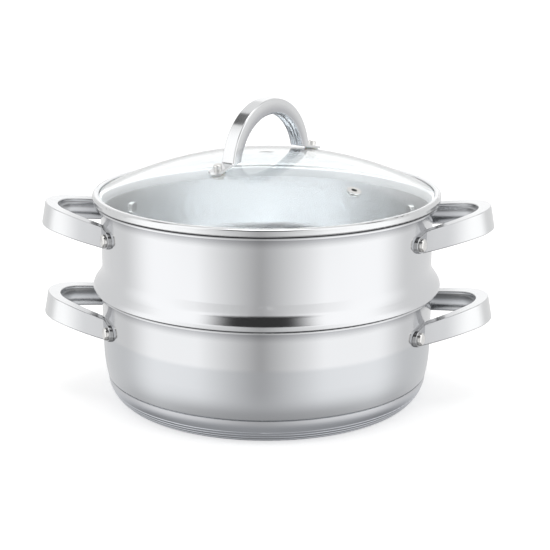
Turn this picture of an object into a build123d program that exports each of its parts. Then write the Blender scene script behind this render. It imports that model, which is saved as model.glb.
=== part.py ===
from build123d import *
import os
from math import asin, cos, degrees, radians, sin, sqrt, tan

# Two-tier steamer pot: a pot with a sandwich base, a perforated steamer insert that
# stands on the pot's rim, and a domed glass lid that stands on the steamer's rim.
# The origin is the centre of the base's underside, +Z is up and the side handles lie
# along X.

# Pot: one drawn sheet, wider towards its rim and drawn in above the base cap
pot_inner_diameter = 280.0
sheet = 0.8
pot_rim_height = 96.1
straight_wall_start = 44.0
wall_flare = 0.6
lower_wall_draw_in = 2.4
lower_wall_radius = 120.0
floor_corner_radius = 8.0

# Sandwich base: stainless cap pressed over an aluminium disc
base_cap_height = 19.8
base_cap_sheet = 0.6
base_cap_step = 0.6
base_cap_side_radius = 24.7
base_cap_edge_radius = 2.5
spreader_thickness = 6.0
joggle_gap = 0.25
ring_groove_count = 4
ring_groove_pitch = 2.6
ring_groove_first = 1.9
ring_groove_radius = 0.55
ring_groove_depth = 0.4

# Rims: the pot and the steamer end in the same flange with a turned-down lip
rim_overhang = 4.4
rim_turn_down = 2.6
rim_corner_radius = 0.5
rim_neck_radius = 2.5

# Steamer insert: wall, bead that rests on the pot's rim, nested wall and floor
steamer_height = 73.9
steamer_draw_in = 1.05
bead_overhang = 2.5
bead_edge_height = 2.6
bead_height = 14.0
bead_neck_radius = 17.0
bead_shoulder_radius = 8.0
bead_edge_radius = 1.2
nest_gap = 1.6
nest_depth = 13.1
nest_corner_radius = 5.0
seat_corner_radius = 1.2
steam_hole_diameter = 8.0
steam_hole_ring_pitch = 26.0
steam_hole_ring_count = 4
steam_holes_per_ring = 6

# Lid: glass in a rolled band whose skirt centres it in the steamer
band_sheet = 0.7
band_overhang = 1.2
band_height = 6.3
band_lip_width = 4.6
band_lip_drop = 1.0
band_corner_radius = 1.2
band_top_radius = 2.8
skirt_gap = 0.95
skirt_depth = 9.0
gasket_width = 4.0
glass_thickness = 4.0
glass_sphere_radius = 316.0
glass_edge_round = 1.0

# Steam vent: an eyelet through the glass
vent_distance = 103.5
vent_turn = 12.0
vent_hole_diameter = 7.2
vent_bore_diameter = 4.6
vent_flange_diameter = 12.0
vent_flange_thickness = 0.9
vent_rolled_diameter = 10.0

# Lid handle: a cast arch with a lug at each foot
lid_handle_angle = 57.0
arch_outer_radius = 54.2
arch_inner_radius = 43.0
arch_rise = 45.1
arch_apex_thickness = 13.5
arch_width = 12.5
arch_outer_edge_radius = 1.2
arch_inner_edge_radius = 2.8
arch_groove_width = 5.6
arch_groove_depth = 1.4
lid_lug_distance = 66.0
lid_lug_thickness = 1.9
lid_lug_end_radius = 8.2
lid_lug_corner_radius = 2.0
lid_rivet_diameter = 5.0
lid_rivet_head_diameter = 7.0
lid_rivet_head_height = 4.2
lid_rivet_head_round = 1.4
lid_rivet_tail_diameter = 8.0
lid_rivet_tail_height = 2.0
lid_washer_diameter = 11.6
lid_sleeve_diameter = 8.0
lid_sleeve_clearance = 0.1
upper_washer_thickness = 0.9
lower_washer_thickness = 1.5
backing_washer_thickness = 1.0
backing_washer_diameter = 10.4

# Side handles: cast loops, tilted up, with a lug on the wall at each foot
pot_handle_drop = 28.4
steamer_handle_drop = 23.4
handle_tilt = 10.7
handle_reach = 51.3
nose_outer_radius = 38.0
nose_inner_radius = 27.0
nose_half_angle = 52.0
arm_outer_radius = 150.0
arm_inner_radius = 190.0
arm_run_in = 60.0
strap_height = 19.8
foot_height = 17.6
strap_edge_radius = 1.1
strap_groove_width = 14.6
strap_groove_depth = 2.2
lug_thickness = 2.8
lug_start = 47.0
lug_end_radius = 7.2
lug_edge_radius = 0.7
arm_end_gap = 0.9
rivet_offset = 63.0
rivet_drop = 1.4

# Side handle rivets
rivet_diameter = 5.0
rivet_head_diameter = 11.0
rivet_head_height = 3.4
rivet_head_round = 2.0
rivet_inner_head_diameter = 10.0
rivet_inner_head_height = 1.8
rivet_inner_head_round = 0.9

# Clearances
seat_clearance = 0.2
press_clearance = 0.05
cut_overrun = 20.0

# Places worked out from the sizes above
pot_wall_radius = pot_inner_diameter / 2 + sheet
pot_rim_wall_radius = pot_wall_radius + wall_flare
rim_radius = pot_rim_wall_radius + rim_overhang
pot_foot_radius = pot_wall_radius - lower_wall_draw_in
pot_floor_height = base_cap_sheet + spreader_thickness
base_cap_radius = pot_foot_radius - base_cap_step
base_cap_arc_centre = base_cap_radius - base_cap_side_radius
pot_handle_height = pot_rim_height - pot_handle_drop

steamer_seat = pot_rim_height + seat_clearance
steamer_rim_height = steamer_seat + steamer_height
steamer_wall_radius = pot_rim_wall_radius - steamer_draw_in
nest_radius = pot_rim_wall_radius - sheet - nest_gap
bead_radius = rim_radius + bead_overhang
steamer_floor_height = steamer_seat - nest_depth
steamer_handle_height = steamer_rim_height - steamer_handle_drop

lid_seat = steamer_rim_height + seat_clearance
band_radius = rim_radius + band_overhang
skirt_radius = steamer_wall_radius - sheet - skirt_gap
glass_edge_radius = band_radius - band_sheet - gasket_width
glass_edge_angle = asin(glass_edge_radius / glass_sphere_radius)
glass_inner_sphere_radius = glass_sphere_radius - glass_thickness
glass_centre_height = (lid_seat + band_sheet + press_clearance
                       - glass_inner_sphere_radius * cos(glass_edge_angle))
arch_apex_height = glass_centre_height + glass_sphere_radius + arch_rise


def pot_wall_radius_at(height):
    """Outer radius of the pot's flared wall at a height."""
    share = (height - straight_wall_start) / (pot_rim_height - straight_wall_start)
    return pot_wall_radius + wall_flare * share


def base_arc_radius_at(height, inset):
    """Radius at a height of the base's curved side, at a depth below the cap's face."""
    side_radius = base_cap_side_radius - inset
    return base_cap_arc_centre + sqrt(side_radius**2 - (base_cap_height - height) ** 2)


def sagitta(curve_radius, half_width):
    """How far a curve of a radius falls away from its tangent at a half width."""
    return curve_radius - sqrt(curve_radius**2 - half_width**2)


def groove_radius_of(width, depth):
    """Radius of the round groove that has a width and a depth."""
    return ((width / 2) ** 2 + depth**2) / (2 * depth)


def radial_plane(azimuth, distance, height):
    """Plane that faces outwards from the axis, at an azimuth, a radius and a height."""
    outward = Vector(cos(radians(azimuth)), sin(radians(azimuth)), 0)
    return Plane(origin=outward * distance + Vector(0, 0, height), x_dir=(0, 0, 1), z_dir=outward)


def dome_plane(azimuth, distance, lift):
    """Plane tangent to the lid's glass where its outer face is at a distance from the
    axis, lifted along the surface's own normal. Its x axis runs down the slope."""
    tilt = asin(distance / glass_sphere_radius)
    across = radians(azimuth)
    normal = Vector(sin(tilt) * cos(across), sin(tilt) * sin(across), cos(tilt))
    down_slope = Vector(cos(tilt) * cos(across), cos(tilt) * sin(across), -sin(tilt))
    centre = Vector(0, 0, glass_centre_height)
    return Plane(origin=centre + normal * (glass_sphere_radius + lift), x_dir=down_slope,
                 z_dir=normal)


def finish(piece, name):
    """Label a finished piece and write it as one STEP file."""
    piece.label = name
    export_step(piece, f"parts/{name}.step")


def rim_outline(wall_radius, rim_top):
    """Underside of a rim's flange, from the wall outwards and down the turned lip."""
    under_flange = rim_top - sheet
    return [
        (wall_radius, under_flange),
        (rim_radius - sheet, under_flange),
        (rim_radius - sheet, rim_top - rim_turn_down),
    ]


os.makedirs("parts", exist_ok=True)

lug_azimuth = degrees(asin(rivet_offset / pot_wall_radius))
rivet_places = {
    "right_front": -lug_azimuth,
    "right_back": lug_azimuth,
    "left_front": lug_azimuth - 180,
    "left_back": 180 - lug_azimuth,
}

# Pot body: floor, curved lower wall with a joggle over the cap's edge, flared wall, rim
cap_inset = base_cap_sheet + press_clearance
floor_edge = (base_arc_radius_at(pot_floor_height, cap_inset), pot_floor_height)
under_joggle = (base_arc_radius_at(base_cap_height, cap_inset), base_cap_height)
joggle_start = (under_joggle[0], base_cap_height + joggle_gap)
joggle_end = (pot_foot_radius, joggle_start[1] + pot_foot_radius - under_joggle[0])
wall_start = (pot_wall_radius, straight_wall_start)

with BuildPart() as pot_body:
    with BuildSketch(Plane.XZ):
        with BuildLine() as pot_outline:
            Line((0, pot_floor_height), floor_edge)
            RadiusArc(floor_edge, under_joggle, cap_inset - base_cap_side_radius)
            Polyline(under_joggle, joggle_start, joggle_end)
            RadiusArc(joggle_end, wall_start, -lower_wall_radius)
            FilletPolyline(
                wall_start,
                *rim_outline(pot_rim_wall_radius, pot_rim_height),
                radius=[rim_neck_radius, rim_corner_radius],
            )
            fillet(pot_outline.vertices().sort_by_distance((*floor_edge, 0))[0], floor_corner_radius)
            offset(amount=sheet, side=Side.LEFT)
        make_face()
    revolve(axis=Axis.Z)
    for azimuth in rivet_places.values():
        with BuildSketch(radial_plane(azimuth, 0, pot_handle_height - rivet_drop)):
            Circle(rivet_diameter / 2 + press_clearance)
        extrude(amount=pot_wall_radius + cut_overrun, mode=Mode.SUBTRACT)
finish(pot_body.part, "pot_body")

# Heat spreader: aluminium disc between the cap and the pot's floor
spreader_low = (base_arc_radius_at(base_cap_sheet, cap_inset), base_cap_sheet)
spreader_high = floor_edge

with BuildPart() as heat_spreader_disc:
    with BuildSketch(Plane.XZ):
        with BuildLine() as spreader_outline:
            Polyline(spreader_high, (0, pot_floor_height), (0, base_cap_sheet), spreader_low)
            RadiusArc(spreader_low, spreader_high, cap_inset - base_cap_side_radius)
            fillet(spreader_outline.vertices().sort_by_distance((*spreader_low, 0))[0],
                   base_cap_edge_radius)
        make_face()
    revolve(axis=Axis.Z)
finish(heat_spreader_disc.part, "heat_spreader_disc")

# Base cap: shallow pressed dish whose curved side carries turned rings
cap_low = (base_arc_radius_at(0, 0), 0)
cap_high = (base_cap_radius, base_cap_height)

with BuildPart() as base_cap:
    with BuildSketch(Plane.XZ):
        with BuildLine() as cap_outline:
            Line((0, 0), cap_low)
            RadiusArc(cap_low, cap_high, -base_cap_side_radius)
            fillet(cap_outline.vertices().sort_by_distance((*cap_low, 0))[0], base_cap_edge_radius)
            offset(amount=base_cap_sheet, side=Side.LEFT)
        make_face()
    revolve(axis=Axis.Z)
    with BuildSketch(Plane.XZ):
        for ring in range(ring_groove_count):
            ring_height = ring_groove_first + ring * ring_groove_pitch
            ring_centre = base_arc_radius_at(ring_height, ring_groove_depth - ring_groove_radius)
            with Locations((ring_centre, ring_height)):
                Circle(ring_groove_radius)
    revolve(axis=Axis.Z, mode=Mode.SUBTRACT)
finish(base_cap.part, "base_cap")

# Steamer body: nested wall and perforated floor, bead, wall and rim in one sheet
with BuildPart() as steamer_body:
    with BuildSketch(Plane.XZ):
        with BuildLine():
            FilletPolyline(
                (0, steamer_floor_height),
                (nest_radius, steamer_floor_height),
                (nest_radius, steamer_seat),
                (bead_radius, steamer_seat),
                (bead_radius, steamer_seat + bead_edge_height),
                (steamer_wall_radius, steamer_seat + bead_height),
                *rim_outline(steamer_wall_radius, steamer_rim_height),
                radius=[
                    nest_corner_radius,
                    seat_corner_radius,
                    bead_edge_radius,
                    bead_shoulder_radius,
                    bead_neck_radius,
                    rim_neck_radius,
                    rim_corner_radius,
                ],
            )
            offset(amount=sheet, side=Side.LEFT)
        make_face()
    revolve(axis=Axis.Z)
    with BuildSketch(Plane.XY.offset(steamer_floor_height)):
        Circle(steam_hole_diameter / 2)
        for ring in range(1, steam_hole_ring_count + 1):
            with PolarLocations(ring * steam_hole_ring_pitch, ring * steam_holes_per_ring):
                Circle(steam_hole_diameter / 2)
    extrude(amount=sheet, mode=Mode.SUBTRACT)
    for azimuth in rivet_places.values():
        with BuildSketch(radial_plane(azimuth, 0, steamer_handle_height - rivet_drop)):
            Circle(rivet_diameter / 2 + press_clearance)
        extrude(amount=steamer_wall_radius + cut_overrun, mode=Mode.SUBTRACT)
finish(steamer_body.part, "steamer_body")


def side_handle(wall_radius, height, side):
    """A loop handle on the right or left of a vessel. Its strap is drawn in the tilted
    plane of the loop, and its lugs are tongues that lie on the wall."""
    seat_radius = wall_radius + press_clearance
    lug_radius = seat_radius + lug_thickness
    far_out = wall_radius + handle_reach + cut_overrun
    lug_start_depth = wall_radius - sqrt(lug_radius**2 - lug_start**2)
    lug_start_height = height - lug_start_depth * tan(radians(handle_tilt))
    rivet_height = height - rivet_drop

    with BuildPart() as lugs:
        with BuildSketch(Plane.YZ):
            with Locations((rivet_offset, rivet_height)):
                Circle(lug_end_radius)
            Polygon(
                (lug_start, lug_start_height - foot_height / 2),
                (rivet_offset, rivet_height - lug_end_radius),
                (rivet_offset, rivet_height + lug_end_radius),
                (lug_start, lug_start_height + foot_height / 2),
                align=None,
            )
        extrude(amount=far_out)
        with Locations((0, 0, height)):
            Cylinder(lug_radius, foot_height * 2, mode=Mode.INTERSECT)
            Cylinder(seat_radius, foot_height * 2, mode=Mode.SUBTRACT)
        outer_face = lugs.faces().filter_by(GeomType.CYLINDER).filter_by(
            lambda face: abs(face.radius - lug_radius) < press_clearance)
        fillet(outer_face.edges(), lug_edge_radius)
        mirror(about=Plane.XZ)

    tilt = radians(handle_tilt)
    loop_x = Vector(cos(tilt), 0, sin(tilt))
    loop_origin = (wall_radius, 0, height)
    loop_plane = Plane(origin=loop_origin, x_dir=loop_x, z_dir=(-sin(tilt), 0, cos(tilt)))
    side_view = Plane(origin=loop_origin, x_dir=loop_x, z_dir=(0, -1, 0))
    nose_centre = handle_reach - nose_outer_radius

    def loop_outline(nose_radius, arm_radius):
        """A nose arc between two tangent arm arcs, from the front arm's end to the back
        arm's end."""
        arm_swing = degrees(arm_run_in / arm_radius)
        radius_change = arm_radius - nose_radius
        across = radius_change * sin(radians(nose_half_angle))
        along = nose_centre - radius_change * cos(radians(nose_half_angle))
        front = CenterArc((along, across), arm_radius, -nose_half_angle - arm_swing, arm_swing)
        CenterArc((nose_centre, 0), nose_radius, -nose_half_angle, 2 * nose_half_angle)
        back = CenterArc((along, -across), arm_radius, nose_half_angle, arm_swing)
        return front @ 0, back @ 1

    def half_height(along):
        """Half the strap's height at a distance from the wall: lower at the feet."""
        return (foot_height + (strap_height - foot_height) * along / handle_reach) / 2

    groove_radius = groove_radius_of(strap_groove_width, strap_groove_depth)
    groove_inset = groove_radius - strap_groove_depth
    behind = -arm_run_in
    beyond = handle_reach + cut_overrun

    with BuildPart() as handle:
        with BuildSketch(loop_plane):
            with BuildLine():
                Line(*loop_outline(nose_outer_radius, arm_outer_radius))
            make_face()
            with BuildLine():
                front_end, back_end = loop_outline(nose_inner_radius, arm_inner_radius)
                past_end = Vector(cut_overrun, 0)
                Polyline(front_end, front_end - past_end, back_end - past_end, back_end)
            make_face(mode=Mode.SUBTRACT)
        extrude(amount=strap_height, both=True)
        with BuildSketch(side_view):
            Polygon(
                (behind, -half_height(behind)),
                (beyond, -half_height(beyond)),
                (beyond, half_height(beyond)),
                (behind, half_height(behind)),
                align=None,
            )
        extrude(amount=far_out, both=True, mode=Mode.INTERSECT)
        flat_faces = handle.faces().filter_by(GeomType.PLANE).sort_by(Axis.Z)
        fillet([*flat_faces[0].edges(), *flat_faces[-1].edges()], strap_edge_radius)
        with BuildLine(loop_plane) as groove_path:
            loop_outline(nose_inner_radius - groove_inset, arm_inner_radius - groove_inset)
        groove_wire = groove_path.wires()[0]
        with BuildSketch(Plane(origin=groove_wire @ 0, z_dir=groove_wire % 0)):
            Circle(groove_radius)
        sweep(path=groove_wire, mode=Mode.SUBTRACT)
        with Locations((0, 0, height)):
            Cylinder(wall_radius + arm_end_gap, far_out, mode=Mode.SUBTRACT)
        add(lugs.part)
        for place in ("right_front", "right_back"):
            with BuildSketch(radial_plane(rivet_places[place], 0, rivet_height)):
                Circle(rivet_diameter / 2 + press_clearance)
            extrude(amount=far_out, mode=Mode.SUBTRACT)
    if side == "left":
        return handle.part.mirror(Plane.YZ)
    return handle.part


def side_rivet(wall_radius, inner_radius, height, azimuth):
    """Rivet through a lug and the wall, with a thick head outside and a low one inside."""
    head_seat = wall_radius + press_clearance + lug_thickness
    tail_seat = inner_radius - sagitta(inner_radius, rivet_inner_head_diameter / 2)
    axis_plane = radial_plane(azimuth, 0, height - rivet_drop)
    with BuildPart() as rivet:
        with BuildSketch(axis_plane.offset(tail_seat)):
            Circle(rivet_diameter / 2)
        extrude(amount=head_seat - tail_seat)
        with BuildSketch(axis_plane.offset(head_seat)):
            Circle(rivet_head_diameter / 2)
        extrude(amount=rivet_head_height)
        fillet(rivet.faces().sort_by(Axis(axis_plane.origin, axis_plane.z_dir))[-1].edges(),
               rivet_head_round)
        with BuildSketch(axis_plane.offset(tail_seat)):
            Circle(rivet_inner_head_diameter / 2)
        extrude(amount=-rivet_inner_head_height)
        fillet(rivet.faces().sort_by(Axis(axis_plane.origin, axis_plane.z_dir))[0].edges(),
               rivet_inner_head_round)
    return rivet.part


handle_seats = {
    "pot": (
        pot_wall_radius_at(pot_handle_height + foot_height / 2),
        pot_wall_radius_at(pot_handle_height - foot_height / 2) - sheet,
        pot_handle_height,
    ),
    "steamer": (steamer_wall_radius, steamer_wall_radius - sheet, steamer_handle_height),
}
for vessel, (wall_radius, inner_radius, handle_height) in handle_seats.items():
    for side in ("left", "right"):
        finish(side_handle(wall_radius, handle_height, side), f"{vessel}_handle_{side}")
    for place, azimuth in rivet_places.items():
        rivet = side_rivet(wall_radius, inner_radius, handle_height, azimuth)
        finish(rivet, f"{vessel}_rivet_{place}")

# Lid glass: a cap of a sphere, with its edge cut square, and holes along its normals
inner_share = glass_inner_sphere_radius / glass_sphere_radius
glass_inner_edge = (
    glass_edge_radius * inner_share,
    glass_centre_height + glass_inner_sphere_radius * cos(glass_edge_angle),
)
lid_hole_diameter = lid_sleeve_diameter + lid_sleeve_clearance
lid_places = {"front": lid_handle_angle + 180, "back": lid_handle_angle}
vent_angle = lid_handle_angle - 90 - vent_turn

with BuildPart() as lid_glass:
    with BuildSketch(Plane.XZ):
        with BuildLine():
            swing = -degrees(glass_edge_angle)
            outer_arc = CenterArc((0, glass_centre_height), glass_sphere_radius, 90, swing)
            Line(outer_arc @ 1, glass_inner_edge)
            inner_arc = CenterArc((0, glass_centre_height), glass_inner_sphere_radius, 90, swing)
            Line(inner_arc @ 0, outer_arc @ 0)
        make_face()
    revolve(axis=Axis.Z)
    fillet(lid_glass.edges().sort_by(Axis.Z)[:2], glass_edge_round)
    for azimuth in lid_places.values():
        with BuildSketch(dome_plane(azimuth, lid_lug_distance, glass_thickness)):
            Circle(lid_hole_diameter / 2)
        extrude(amount=-glass_thickness * 3, mode=Mode.SUBTRACT)
    with BuildSketch(dome_plane(vent_angle, vent_distance, glass_thickness)):
        Circle(vent_hole_diameter / 2)
    extrude(amount=-glass_thickness * 3, mode=Mode.SUBTRACT)
finish(lid_glass.part, "lid_glass")

# Rim band: rolled strip with a skirt inside, a web under the glass, an outer wall and a
# lip that curls down on the glass
lip_radius = band_radius - band_lip_width
with BuildPart() as lid_rim_band:
    with BuildSketch(Plane.XZ):
        with BuildLine():
            FilletPolyline(
                (skirt_radius, lid_seat - skirt_depth),
                (skirt_radius, lid_seat),
                (band_radius, lid_seat),
                (band_radius, lid_seat + band_height),
                (lip_radius, lid_seat + band_height),
                (lip_radius - band_lip_drop, lid_seat + band_height - band_lip_drop),
                radius=[band_corner_radius, band_corner_radius, band_top_radius, band_corner_radius],
            )
            offset(amount=band_sheet, side=Side.LEFT)
        make_face()
    revolve(axis=Axis.Z)
finish(lid_rim_band.part, "lid_rim_band")

# Edge gasket: ring that fills the band's channel round the edge of the glass
gasket_outer = band_radius - band_sheet - press_clearance
gasket_inner = glass_edge_radius + press_clearance
with BuildPart() as lid_edge_gasket:
    with BuildSketch(Plane.XZ):
        with Locations((gasket_inner, lid_seat + band_sheet + press_clearance)):
            Rectangle(gasket_outer - gasket_inner, glass_thickness * cos(glass_edge_angle),
                      align=(Align.MIN, Align.MIN))
    revolve(axis=Axis.Z)
    fillet(lid_edge_gasket.edges(), band_corner_radius - band_sheet)
finish(lid_edge_gasket.part, "lid_edge_gasket")

# Vent grommet: an eyelet with a flange above the glass and a rolled flange below
flange_sag = sagitta(glass_inner_sphere_radius, vent_rolled_diameter / 2)
with BuildPart() as vent_grommet:
    with BuildSketch(dome_plane(vent_angle, vent_distance, 0)):
        Circle(vent_flange_diameter / 2)
    extrude(amount=vent_flange_thickness)
    with BuildSketch(dome_plane(vent_angle, vent_distance, 0)):
        Circle(vent_hole_diameter / 2 - press_clearance)
    extrude(amount=-glass_thickness - flange_sag)
    with BuildSketch(dome_plane(vent_angle, vent_distance, -glass_thickness - flange_sag)):
        Circle(vent_rolled_diameter / 2)
    extrude(amount=-vent_flange_thickness)
    with BuildSketch(dome_plane(vent_angle, vent_distance, vent_flange_thickness)):
        Circle(vent_bore_diameter / 2)
    extrude(amount=-glass_thickness * 3, mode=Mode.SUBTRACT)
    fillet(vent_grommet.edges().filter_by(GeomType.CIRCLE).filter_by(
        lambda edge: edge.radius > vent_hole_diameter / 2), vent_flange_thickness / 3)
finish(vent_grommet.part, "vent_grommet")

# Lid handle: arch and lugs in one side view, trimmed to its plan and grooved inside
arch_angle = radians(lid_handle_angle)
arch_x = Vector(cos(arch_angle), sin(arch_angle), 0)
arch_view = Plane(origin=(0, 0, 0), x_dir=arch_x, z_dir=(sin(arch_angle), -cos(arch_angle), 0))
lug_tilt = asin(lid_lug_distance / glass_sphere_radius)
arch_outer_centre = arch_apex_height - arch_outer_radius
arch_inner_centre = arch_apex_height - arch_apex_thickness - arch_inner_radius
lug_end_distance = lid_lug_distance + lid_lug_end_radius


def lug_face_height(distance, lift):
    """Height of a plane that lies over the glass at the lugs, at a distance from the axis."""
    over_centre = glass_centre_height + (glass_sphere_radius + lift) / cos(lug_tilt)
    return over_centre - distance * tan(lug_tilt)


lug_under = upper_washer_thickness
lug_over = upper_washer_thickness + lid_lug_thickness
arch_groove_radius = groove_radius_of(arch_groove_width, arch_groove_depth)

with BuildPart() as lid_handle:
    with BuildSketch(arch_view) as arch_sketch:
        with Locations((0, arch_outer_centre)):
            Circle(arch_outer_radius)
        with Locations((0, arch_inner_centre)):
            Circle(arch_inner_radius, mode=Mode.SUBTRACT)
            Rectangle(arch_inner_radius * 2, arch_outer_radius * 2, align=(Align.CENTER, Align.MAX),
                      mode=Mode.SUBTRACT)
        for end in (-1, 1):
            Polygon(
                (end * arch_inner_radius, lug_face_height(arch_inner_radius, lug_under)),
                (end * lug_end_distance, lug_face_height(lug_end_distance, lug_under)),
                (end * lug_end_distance, lug_face_height(lug_end_distance, lug_over)),
                (end * arch_inner_radius, lug_face_height(arch_inner_radius, lug_over)),
                align=None,
            )
            Polygon(
                (end * arch_inner_radius / 2, glass_centre_height),
                (end * arch_inner_radius / 2, lug_face_height(arch_inner_radius / 2, lug_under)),
                (end * lug_end_distance, lug_face_height(lug_end_distance, lug_under)),
                (end * lug_end_distance, glass_centre_height),
                align=None,
                mode=Mode.SUBTRACT,
            )
        corner_height = lug_face_height(arch_outer_radius, lug_over)
        for end in (-1, 1):
            corner = (end * arch_outer_radius, corner_height, 0)
            fillet(arch_sketch.vertices().sort_by_distance(corner)[0], lid_lug_corner_radius)
    extrude(amount=arch_width / 2, both=True)
    with BuildSketch(Plane(origin=(0, 0, 0), x_dir=arch_x, z_dir=(0, 0, 1))):
        Rectangle(arch_outer_radius * 2 + lid_lug_corner_radius * 2, arch_width)
        for end in (-1, 1):
            with Locations((end * lid_lug_distance, 0)):
                Circle(lid_lug_end_radius)
            Polygon(
                (end * arch_outer_radius, -arch_width / 2),
                (end * lid_lug_distance, -lid_lug_end_radius),
                (end * lid_lug_distance, lid_lug_end_radius),
                (end * arch_outer_radius, arch_width / 2),
                align=None,
            )
    extrude(amount=arch_apex_height + cut_overrun, mode=Mode.INTERSECT)
    side_faces = lid_handle.faces().filter_by(Axis((0, 0, 0), arch_view.z_dir))
    arcs = side_faces.edges().filter_by(GeomType.CIRCLE)
    fillet(arcs.filter_by(lambda edge: abs(edge.radius - arch_outer_radius) < press_clearance),
           arch_outer_edge_radius)
    side_faces = lid_handle.faces().filter_by(Axis((0, 0, 0), arch_view.z_dir))
    arcs = side_faces.edges().filter_by(GeomType.CIRCLE)
    fillet(arcs.filter_by(lambda edge: abs(edge.radius - arch_inner_radius) < press_clearance),
           arch_inner_edge_radius)
    groove_axis = Axis((0, 0, arch_inner_centre), arch_view.z_dir)
    with BuildSketch(Plane(origin=groove_axis.position, x_dir=(0, 0, 1), z_dir=arch_x)):
        with Locations((arch_inner_radius + arch_groove_depth - arch_groove_radius, 0)):
            Circle(arch_groove_radius)
    revolve(axis=groove_axis, mode=Mode.SUBTRACT)
    for azimuth in lid_places.values():
        with BuildSketch(dome_plane(azimuth, lid_lug_distance, 0)):
            Circle(lid_rivet_diameter / 2 + press_clearance)
        extrude(amount=lug_over + cut_overrun, mode=Mode.SUBTRACT)
finish(lid_handle.part, "lid_handle")


def lid_washer(azimuth, *rings):
    """A washer round a lid rivet, made of rings: each has the lift of its top above the
    glass's outer face, its thickness and its diameter."""
    with BuildPart() as washer:
        for top_lift, thickness, diameter in rings:
            with BuildSketch(dome_plane(azimuth, lid_lug_distance, top_lift)):
                Circle(diameter / 2)
                Circle(lid_rivet_diameter / 2 + press_clearance, mode=Mode.SUBTRACT)
            extrude(amount=-thickness)
    return washer.part


# Lid fastenings: a sleeved washer between lug and glass, a washer and a steel backing
# washer under the glass, and a rivet through them all
lower_washer_lift = -glass_thickness - sagitta(glass_inner_sphere_radius, lid_washer_diameter / 2)
backing_lift = lower_washer_lift - lower_washer_thickness
tail_lift = backing_lift - backing_washer_thickness
for place, azimuth in lid_places.items():
    rivet_axis = dome_plane(azimuth, lid_lug_distance, 0)

    collar = (upper_washer_thickness, upper_washer_thickness, lid_washer_diameter)
    sleeve = (0, glass_thickness, lid_sleeve_diameter)
    lower_ring = (lower_washer_lift, lower_washer_thickness, lid_washer_diameter)
    backing_ring = (backing_lift, backing_washer_thickness, backing_washer_diameter)
    finish(lid_washer(azimuth, collar, sleeve), f"lid_upper_washer_{place}")
    finish(lid_washer(azimuth, lower_ring), f"lid_lower_washer_{place}")
    finish(lid_washer(azimuth, backing_ring), f"lid_backing_washer_{place}")

    with BuildPart() as lid_rivet:
        with BuildSketch(rivet_axis.offset(lug_over)):
            Circle(lid_rivet_head_diameter / 2)
        extrude(amount=lid_rivet_head_height)
        with BuildSketch(rivet_axis.offset(lug_over)):
            Circle(lid_rivet_diameter / 2)
        extrude(amount=tail_lift - lug_over)
        with BuildSketch(rivet_axis.offset(tail_lift)):
            Circle(lid_rivet_tail_diameter / 2)
        extrude(amount=-lid_rivet_tail_height)
        along_rivet = lid_rivet.faces().sort_by(Axis(rivet_axis.origin, rivet_axis.z_dir))
        fillet([*along_rivet[-1].edges(), *along_rivet[0].edges()], lid_rivet_head_round)
    finish(lid_rivet.part, f"lid_rivet_{place}")
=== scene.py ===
import math

import bpy
import numpy as np
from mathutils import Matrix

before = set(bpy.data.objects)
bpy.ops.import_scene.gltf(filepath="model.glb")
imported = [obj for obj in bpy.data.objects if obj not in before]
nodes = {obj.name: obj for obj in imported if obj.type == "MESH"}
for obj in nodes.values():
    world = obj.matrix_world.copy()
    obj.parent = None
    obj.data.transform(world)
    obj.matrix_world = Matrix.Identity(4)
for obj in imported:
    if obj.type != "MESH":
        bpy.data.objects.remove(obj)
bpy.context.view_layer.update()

# Camera
# A long lens a little above the lid's rim, turned slightly so that the right-hand
# handles come towards the viewer. The look-at point is on the pot's axis.
MM = 0.001
look_at = np.array([0.0, 0.0, 100.9 * MM])
camera_distance = 1.211
camera_azimuth = math.radians(3.2)
camera_elevation = math.radians(15.53)
back = np.array([
    math.sin(camera_azimuth) * math.cos(camera_elevation),
    -math.cos(camera_azimuth) * math.cos(camera_elevation),
    math.sin(camera_elevation),
])

camera_data = bpy.data.cameras.new("camera")
camera_data.sensor_width = 36.0
camera_data.lens = 92.1
camera_data.shift_x = 0.015
camera_data.clip_start = 0.05
camera = bpy.data.objects.new("camera", camera_data)
camera.location = look_at + back * camera_distance
camera.rotation_euler = (math.pi / 2 - camera_elevation, 0.0, camera_azimuth)
bpy.context.scene.collection.objects.link(camera)
bpy.context.scene.camera = camera
bpy.context.scene.view_settings.view_transform = "Standard"


def linear(hex_colour):
    """Scene-linear RGBA of an sRGB hex colour: each channel c becomes c / 12.92 below
    0.04045, and ((c + 0.055) / 1.055) ** 2.4 above it."""
    channels = np.array([int(hex_colour[i:i + 2], 16) for i in (1, 3, 5)]) / 255.0
    curved = ((channels + 0.055) / 1.055) ** 2.4
    return (*np.where(channels <= 0.04045, channels / 12.92, curved).tolist(), 1.0)


def add(tree, kind, settings=None, **links):
    """Adds one node. Settings are the node's own properties. A link is named after an
    input, with _ for a space, and is a value or another node's output."""
    node = tree.nodes.new(kind)
    for name, value in (settings or {}).items():
        setattr(node, name, value)
    for name, value in links.items():
        key = int(name[1:]) if name[0] == "i" and name[1:].isdigit() else name.replace("_", " ")
        if isinstance(value, bpy.types.NodeSocket):
            tree.links.new(value, node.inputs[key])
        else:
            node.inputs[key].default_value = value
    return node


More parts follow.
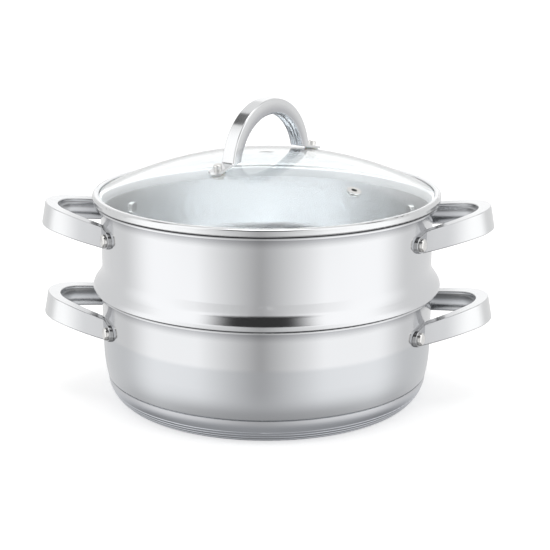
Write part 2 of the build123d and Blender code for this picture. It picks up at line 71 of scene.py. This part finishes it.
# Studio
# A white tent, brightest at the front left and front right and overhead. The gap where
# the camera stands runs up the front and darkens towards its middle. Over it is a hole
# in the roof, a curtain and a black stand are on each side, and it is dim under the table.
def angle_band(tree, angle, centre, inner, outer, fall="SMOOTHSTEP"):
    """1 where an angle in radians lies within inner degrees of the centre, falling to 0
    at outer degrees."""
    away = add(tree, "ShaderNodeMath", {"operation": "SUBTRACT"}, i0=angle, i1=math.radians(centre))
    size = add(tree, "ShaderNodeMath", {"operation": "ABSOLUTE"}, i0=away.outputs[0])
    band = add(
        tree, "ShaderNodeMapRange", {"interpolation_type": fall},
        Value=size.outputs[0], From_Min=math.radians(inner), From_Max=math.radians(outer),
        To_Min=1.0, To_Max=0.0,
    )
    return band.outputs[0]


def times(tree, first, second):
    """The product of two values."""
    return add(tree, "ShaderNodeMath", {"operation": "MULTIPLY"}, i0=first, i1=second).outputs[0]


def more_than(tree, value, limit):
    """1 where the value is above the limit, and 0 elsewhere."""
    return add(tree, "ShaderNodeMath", {"operation": "GREATER_THAN"}, i0=value, i1=limit).outputs[0]


world = bpy.data.worlds.new("studio")
world.use_nodes = True
bpy.context.scene.world = world
tree = world.node_tree
tree.nodes.clear()
direction = add(tree, "ShaderNodeSeparateXYZ", None,
                Vector=add(tree, "ShaderNodeTexCoord").outputs["Generated"])
toward_viewer = times(tree, direction.outputs["Y"], -1.0)
azimuth = add(tree, "ShaderNodeMath", {"operation": "ARCTAN2"},
              i0=direction.outputs["X"], i1=toward_viewer).outputs[0]
elevation = add(tree, "ShaderNodeMath", {"operation": "ARCSINE"}, i0=direction.outputs["Z"]).outputs[0]
rays = add(tree, "ShaderNodeLightPath")


def patch(across, up, fall="SMOOTHSTEP"):
    """1 in a patch of the tent and 0 outside it. Across and up are angle bands, round
    from the viewer and up from level, and fall is how the one across fades."""
    return times(tree, angle_band(tree, azimuth, *across, fall), angle_band(tree, elevation, *up))


def lit(level, share, factor):
    """The level, times the factor where the share is 1."""
    change = add(tree, "ShaderNodeMath", {"operation": "MULTIPLY_ADD"}, i0=share, i1=factor - 1.0, i2=1.0)
    return times(tree, level, change.outputs[0])


back_level = 0.86
front_bright = 0.50
tent = add(tree, "ShaderNodeMath", {"operation": "MULTIPLY_ADD"},
           i0=angle_band(tree, azimuth, 2.0, 80.0, 114.0), i1=front_bright, i2=back_level).outputs[0]
camera_gap = patch((-1.0, 1.0, 44.0), (8.0, 31.0, 48.0), "LINEAR")
roof_hole = patch((-2.0, 22.0, 54.0), (56.0, 15.0, 19.0))
overhead = angle_band(tree, elevation, 90.0, 12.0, 16.0)
under_table = angle_band(tree, elevation, -90.0, 48.0, 66.0)
tent = lit(lit(lit(lit(tent, camera_gap, 0.38), roof_hole, 0.03), overhead, 2.5), under_table, 0.3)

# Light that the metal inside the steamer mirrors out through the lid has crossed both
# faces of the glass twice. The lamp behind the pot is strongest for it.
faces_crossed = more_than(tree, rays.outputs["Transmission Depth"], 2.5)
mirrored = more_than(tree, rays.outputs["Glossy Depth"], 0.5)
from_inside = times(tree, faces_crossed, mirrored)
for side in (-1, 1):
    curtain = patch((side * 34.0, 4.0, 36.0), (8.0, 18.0, 26.0))
    stand = patch((side * 121.0, 15.0, 20.0), (52.0, 3.0, 5.0))
    high_behind = patch((side * 180.0, 30.0, 60.0), (56.0, 14.0, 40.0))
    low_behind = patch((side * 180.0, 14.0, 28.0), (16.0, 9.0, 16.0))
    lamp_behind = times(tree, patch((side * 180.0, 40.0, 150.0), (34.0, 30.0, 54.0)), from_inside)
    tent = lit(lit(tent, curtain, 0.88), stand, 0.15)
    tent = lit(lit(lit(tent, high_behind, 1.1), low_behind, 1.4), lamp_behind, 3.4)

tent_shader = add(tree, "ShaderNodeBackground", None, Color=linear("#FFFFFF"), Strength=tent)
white_shader = add(tree, "ShaderNodeBackground", None, Color=linear("#FFFFFF"), Strength=1.0)
straight = add(tree, "ShaderNodeMath", {"operation": "SUBTRACT"}, i0=1.0, i1=mirrored)
seen = add(tree, "ShaderNodeMath", {"operation": "MAXIMUM"}, i0=rays.outputs["Is Camera Ray"],
           i1=times(tree, rays.outputs["Is Transmission Ray"], straight.outputs[0]))
chosen = add(tree, "ShaderNodeMixShader", None, Fac=seen.outputs[0],
             i1=tent_shader.outputs[0], i2=white_shader.outputs[0])
add(tree, "ShaderNodeOutputWorld", None, Surface=chosen.outputs[0])

# Floor
# The white table top that the pot stands on. It keeps a faint shadow of the pot.
floor_size = 6.0
floor_drop = 0.2 * MM
floor_mesh = bpy.data.meshes.new("floor")
corners = [(-floor_size, -floor_size, -floor_drop), (floor_size, -floor_size, -floor_drop),
           (floor_size, floor_size, -floor_drop), (-floor_size, floor_size, -floor_drop)]
floor_mesh.from_pydata(corners, [], [(0, 1, 2, 3)])
floor = bpy.data.objects.new("floor", floor_mesh)
bpy.context.scene.collection.objects.link(floor)
floor_white = bpy.data.materials.new("white_table")
floor_white.use_nodes = True
tree = floor_white.node_tree
tree.nodes.clear()
rays = add(tree, "ShaderNodeLightPath")
matt = add(tree, "ShaderNodeBsdfDiffuse", None, Color=linear("#E4E4E4"))
glow = add(tree, "ShaderNodeEmission", None, Color=linear("#FFFFFF"), Strength=0.46)
lifted = add(tree, "ShaderNodeAddShader", None, i0=matt.outputs[0], i1=glow.outputs[0])
direct = add(tree, "ShaderNodeMath", {"operation": "MAXIMUM"},
             i0=rays.outputs["Is Camera Ray"], i1=rays.outputs["Is Transmission Ray"])
add(tree, "ShaderNodeOutputMaterial", None,
    Surface=add(tree, "ShaderNodeMixShader", None, Fac=direct.outputs[0], i1=matt.outputs[0],
                i2=lifted.outputs[0]).outputs[0])
floor_mesh.materials.append(floor_white)
floor.visible_glossy = False


# Vessel sheet
# The pot and the steamer are drawn from 18/10 stainless sheet. Buffing makes the outside
# bright and leaves hairlines round the wall that blur its reflections a little. Inside
# and low on the pot the sheet stays satin, and drawing leaves the inside faintly wavy.
# The inside is painted near white, painted light, and the colour under the rims and in
# the seams is painted shade.
def new_material(name):
    """An empty node material, with its tree."""
    material = bpy.data.materials.new(name)
    material.use_nodes = True
    material.node_tree.nodes.clear()
    return material, material.node_tree


def finish_with(tree, shader):
    """Joins a shader to the material's output."""
    add(tree, "ShaderNodeOutputMaterial", None, Surface=shader.outputs[0])


def hairlines(tree, spacing, run):
    """Noise from 0 to 1 whose grains are run long round the axis and spacing high, from
    Object coordinates divided by those lengths."""
    place = add(tree, "ShaderNodeTexCoord").outputs["Object"]
    scaled = add(tree, "ShaderNodeMapping", None, Vector=place, Scale=(1 / run, 1 / run, 1 / spacing))
    noise = add(tree, "ShaderNodeTexNoise", None, Vector=scaled.outputs[0], Scale=1.0, Detail=3.0)
    return noise.outputs["Fac"]


def clouds(tree, size):
    """Soft noise from 0 to 1 with blobs of a size."""
    place = add(tree, "ShaderNodeTexCoord").outputs["Object"]
    return add(tree, "ShaderNodeTexNoise", None, Vector=place, Scale=1 / size, Detail=2.0).outputs["Fac"]


def between(tree, value, low, high):
    """Maps 0..1 to low..high."""
    return add(tree, "ShaderNodeMapRange", None, Value=value, To_Min=low, To_Max=high).outputs[0]


def height_step(tree, start, end):
    """0 below the height start, rising smoothly to 1 at the height end, in metres."""
    place = add(tree, "ShaderNodeSeparateXYZ", None, Vector=add(tree, "ShaderNodeTexCoord").outputs["Object"])
    rise = add(tree, "ShaderNodeMapRange", {"interpolation_type": "SMOOTHSTEP"}, Value=place.outputs["Z"],
               From_Min=start, From_Max=end)
    return rise.outputs[0]


def facing_out(tree):
    """1 on faces that look away from the axis and 0 on those that look towards it: the
    dot product of the normal and the place, both across the axis."""
    coordinates = add(tree, "ShaderNodeTexCoord")
    flat = (1.0, 1.0, 0.0)
    across = [add(tree, "ShaderNodeVectorMath", {"operation": "MULTIPLY"},
                  i0=coordinates.outputs[name], i1=flat) for name in ("Normal", "Object")]
    dot = add(tree, "ShaderNodeVectorMath", {"operation": "DOT_PRODUCT"},
              i0=across[0].outputs[0], i1=across[1].outputs[0])
    return more_than(tree, dot.outputs["Value"], 0.0)


def blend(tree, share, first, second):
    """The first colour where the share is 0 and the second where it is 1."""
    mix = add(tree, "ShaderNodeMix", {"data_type": "RGBA"})
    for index, value in ((0, share), (6, first), (7, second)):
        if isinstance(value, bpy.types.NodeSocket):
            tree.links.new(value, mix.inputs[index])
        else:
            mix.inputs[index].default_value = value
    return mix.outputs[2]


buffing_fade = 5 * MM
rim_lip = 2.6 * MM
lip_edge = 0.5 * MM
dull_depth = 9 * MM
hairline_spacing = 0.35 * MM
hairline_run = 60 * MM
swirl_size = 34 * MM


def drawn_sheet(name, bright, satin_top, rim, seams):
    """Drawn stainless sheet: buffed to the colour bright outside from the height satin_top
    up, satin below it and inside, and painted near white inside, a painted light. It has
    a painted shade under its rim and in the seams, each of which has a height, a reach
    and a colour."""
    material, tree = new_material(name)
    outside = facing_out(tree)
    buffed = times(tree, outside, height_step(tree, satin_top, satin_top + buffing_fade))
    colour = blend(tree, buffed, linear("#C9CBCE"), bright)
    lip_bottom = rim - rim_lip
    past_lip = between(tree, height_step(tree, lip_bottom, lip_bottom + lip_edge), 1.0, 0.0)
    # Painted shade: a darker band under the rim's lip.
    painted_shade_under_lip = times(tree, height_step(tree, lip_bottom - dull_depth, lip_bottom), past_lip)
    colour = blend(tree, painted_shade_under_lip, colour, linear("#A4A5A8"))
    # Painted light: the inside is painted near white.
    colour = blend(tree, outside, linear("#F8F9FA"), colour)
    # Painted shade in the seams between the parts.
    for height, reach, dark in seams:
        below = height_step(tree, height - reach, height)
        above = height_step(tree, height, height + reach)
        close = add(tree, "ShaderNodeMath", {"operation": "SUBTRACT"}, i0=below, i1=above).outputs[0]
        colour = blend(tree, close, colour, dark)
    place = add(tree, "ShaderNodeTexCoord").outputs["Object"]
    swirls = add(tree, "ShaderNodeTexNoise", None, Vector=place, Scale=1 / swirl_size, Detail=1.0,
                 Distortion=2.2)
    inner_swirls = times(tree, between(tree, outside, 1.0, 0.0), swirls.outputs["Fac"])
    wavy = add(tree, "ShaderNodeBump", None, Strength=0.6, Distance=0.7 * MM, Height=inner_swirls)
    lined = add(tree, "ShaderNodeBump", None, Strength=0.06, Distance=0.01 * MM,
                Height=hairlines(tree, hairline_spacing, hairline_run), Normal=wavy.outputs[0])
    finish_with(tree, add(
        tree, "ShaderNodeBsdfPrincipled", None, Base_Color=colour, Metallic=1.0,
        Roughness=between(tree, buffed, 0.24, 0.13), Normal=lined.outputs[0],
    ))
    return material


def lip_shade(rim):
    """The painted shade line under a rim's lip."""
    return (rim - rim_lip - 0.4 * MM, 0.7 * MM, linear("#77787B"))


pot_rim = nodes["pot_body"].bound_box[1][2]
steamer_rim = nodes["steamer_body"].bound_box[1][2]
# Painted shade for the seams.
seam_shade = linear("#39393C")
# Each vessel's seams and the line under its lip are painted shade.
nodes["pot_body"].data.materials[0] = drawn_sheet(
    "drawn_steel_pot", linear("#D1D2D4"), 60 * MM, pot_rim,
    [(pot_rim + 0.1 * MM, 2.0 * MM, linear("#242426")), lip_shade(pot_rim)])
nodes["steamer_body"].data.materials[0] = drawn_sheet(
    "drawn_steel_steamer", linear("#D8D9DB"), 80 * MM, steamer_rim,
    [(pot_rim + 0.1 * MM, 0.8 * MM, seam_shade), (steamer_rim - 0.3 * MM, 1.3 * MM, seam_shade),
     lip_shade(steamer_rim)])


# Base cap
# A stainless cap is pressed over the aluminium disc and turned on its side, which leaves
# fine rings and a greyer, duller face than the buffed wall above it. Its lower part is
# tinted a bluish grey, a painted reflection.
def turned_cap():
    """Turned stainless with rings."""
    material, tree = new_material("turned_base_steel")
    lines = hairlines(tree, 0.3 * MM, 80 * MM)
    upper = height_step(tree, 13 * MM, 19 * MM)
    bump = add(tree, "ShaderNodeBump", None, Strength=0.25, Distance=0.02 * MM, Height=lines)
    finish_with(tree, add(
        tree, "ShaderNodeBsdfPrincipled", None, Metallic=1.0, Roughness=between(tree, lines, 0.26, 0.38),
        # Painted reflection: the lower cap is tinted bluish.
        Base_Color=blend(tree, upper, linear("#CDD0D6"), linear("#CACBCE")), Normal=bump.outputs[0],
    ))
    return material


nodes["base_cap"].data.materials[0] = turned_cap()


# Heat spreader
# A disc of sawn aluminium, shut in between the pot and its cap.
def sawn_aluminium():
    """Dull aluminium with saw marks."""
    material, tree = new_material("sawn_aluminium")
    marks = hairlines(tree, 0.8 * MM, 30 * MM)
    finish_with(tree, add(
        tree, "ShaderNodeBsdfPrincipled", None, Base_Color=linear("#E0E1E2"), Metallic=1.0,
        Roughness=between(tree, marks, 0.40, 0.55),
    ))
    return material


nodes["heat_spreader_disc"].data.materials[0] = sawn_aluminium()


# Handles
# Cast stainless, tumbled and then polished. Casting leaves the faces slightly wavy, so
# their reflections swim. A side handle is painted darker at its feet, near the wall,
# and the arch round its inner edge: painted shade.
def away_from(tree, centre, start, end, weights):
    """0 within start of a centre, rising smoothly to 1 at end, in metres. The weights
    scale the distance along each axis, so one of 0 leaves that axis out."""
    place = add(tree, "ShaderNodeTexCoord").outputs["Object"]
    off = add(tree, "ShaderNodeVectorMath", {"operation": "SUBTRACT"}, i0=place, i1=centre)
    weighted = add(tree, "ShaderNodeVectorMath", {"operation": "MULTIPLY"}, i0=off.outputs[0], i1=weights)
    away = add(tree, "ShaderNodeVectorMath", {"operation": "LENGTH"}, i0=weighted.outputs[0])
    rise = add(tree, "ShaderNodeMapRange", {"interpolation_type": "SMOOTHSTEP"},
               Value=away.outputs["Value"], From_Min=start, From_Max=end)
    return rise.outputs[0]


wave_size = 14 * MM
grain_size = 0.9 * MM


def cast_steel(name, shine, dull, bright, centre, start, end, weights):
    """Polished casting with soft waves. Shine is its lowest roughness. Its colour is the
    shaded colour, a painted shade, near a centre, and goes to the bright colour between
    two distances from it, as away_from gives them."""
    material, tree = new_material(name)
    waves = clouds(tree, wave_size)
    wavy = add(tree, "ShaderNodeBump", None, Strength=0.35, Distance=0.25 * MM, Height=waves)
    grainy = add(tree, "ShaderNodeBump", None, Strength=0.05, Distance=0.02 * MM,
                 Height=clouds(tree, grain_size), Normal=wavy.outputs[0])
    # Painted shade: darker near the centre, lighter away from it.
    out_of_shade = away_from(tree, centre, start, end, weights)
    finish_with(tree, add(
        tree, "ShaderNodeBsdfPrincipled", None, Metallic=1.0,
        Base_Color=blend(tree, out_of_shade, linear(dull), linear(bright)),
        Roughness=between(tree, waves, shine, shine + 0.1), Normal=grainy.outputs[0],
    ))
    return material


widest_radius = -nodes["steamer_body"].bound_box[0][0]
feet_weights = (1.0, 0.45, 0.0)
# Painted shade on the side handles' feet, near the wall.
side_handle_steel = cast_steel("cast_handle_steel", 0.14, "#BEBFC1", "#DFE0E1", (0.0, 0.0, 0.0),
                               widest_radius + 2 * MM, widest_radius + 26 * MM, feet_weights)
for vessel in ("pot", "steamer"):
    for side in ("left", "right"):
        nodes[f"{vessel}_handle_{side}"].data.materials[0] = side_handle_steel
arch_outer_radius = 54.2 * MM
arch_centre = (0.0, 0.0, nodes["lid_handle"].bound_box[1][2] - arch_outer_radius)
# Painted shade round the arch's inner edge.
nodes["lid_handle"].data.materials[0] = cast_steel(
    "cast_arch_steel", 0.09, "#BBBCBF", "#DEDFE0", arch_centre,
    arch_outer_radius - 10 * MM, arch_outer_radius - 2 * MM, (1.0, 1.0, 1.0))


# Rivets and small steel
# Headed stainless wire. The tool that sets the heads leaves them smooth and a little
# softer than the polished castings, so their highlights are broad.
def headed_steel():
    """Smooth set stainless."""
    material, tree = new_material("headed_rivet_steel")
    finish_with(tree, add(
        tree, "ShaderNodeBsdfPrincipled", None, Base_Color=linear("#E3E2E0"), Metallic=1.0,
        Roughness=between(tree, clouds(tree, 2 * MM), 0.16, 0.24),
    ))
    return material


small_steel = headed_steel()
for name, node in nodes.items():
    if "rivet" in name or "backing_washer" in name or name == "vent_grommet":
        node.data.materials[0] = small_steel


# Lid band
# Stainless strip rolled round the edge of the glass and buffed outside, so it shines
# like the rims below it. The rolls leave its inner face frosted. That inner face is
# painted near white, painted light.
def rolled_band():
    """Buffed strip with fine lines round it."""
    material, tree = new_material("rolled_band_steel")
    outside = facing_out(tree)
    lines = hairlines(tree, 0.25 * MM, hairline_run)
    bump = add(tree, "ShaderNodeBump", None, Strength=0.05, Distance=0.01 * MM, Height=lines)
    finish_with(tree, add(
        tree, "ShaderNodeBsdfPrincipled", None, Metallic=1.0,
        # Painted light: the inner face is painted near white.
        Base_Color=blend(tree, outside, linear("#F4F5F6"), linear("#DCDDDE")),
        Roughness=between(tree, outside, 0.45, 0.11), Normal=bump.outputs[0],
    ))
    return material


nodes["lid_rim_band"].data.materials[0] = rolled_band()


# Silicone
# Moulded food-grade silicone, milky and faintly see-through, under the lugs and round
# the edge of the glass.
def moulded_silicone():
    """Milky silicone rubber."""
    material, tree = new_material("moulded_silicone")
    finish_with(tree, add(
        tree, "ShaderNodeBsdfPrincipled", None, Base_Color=linear("#DEDDDA"), IOR=1.41,
        Roughness=between(tree, clouds(tree, 1.5 * MM), 0.45, 0.6), Subsurface_Weight=0.2,
        Subsurface_Scale=1.0 * MM,
    ))
    return material


silicone = moulded_silicone()
for name, node in nodes.items():
    if name == "lid_edge_gasket" or "upper_washer" in name or "lower_washer" in name:
        node.data.materials[0] = silicone


# Lid glass
# Tempered soda-lime glass, 4 mm thick, bent to a dome. It is clear, with a faint cool
# grey that shows most where it is seen edge on.
def tempered_glass():
    """Clear tempered glass that lets the lamps through."""
    material, tree = new_material("tempered_glass")
    tint = linear("#F2F5F6")
    clear = add(tree, "ShaderNodeBsdfPrincipled", None, Base_Color=tint, Roughness=0.0,
                IOR=1.52, Transmission_Weight=1.0)
    through = add(tree, "ShaderNodeBsdfTransparent", None, Color=tint)
    rays = add(tree, "ShaderNodeLightPath")
    finish_with(tree, add(tree, "ShaderNodeMixShader", None, Fac=rays.outputs["Is Shadow Ray"],
                          i1=clear.outputs[0], i2=through.outputs[0]))
    return material


nodes["lid_glass"].data.materials[0] = tempered_glass()
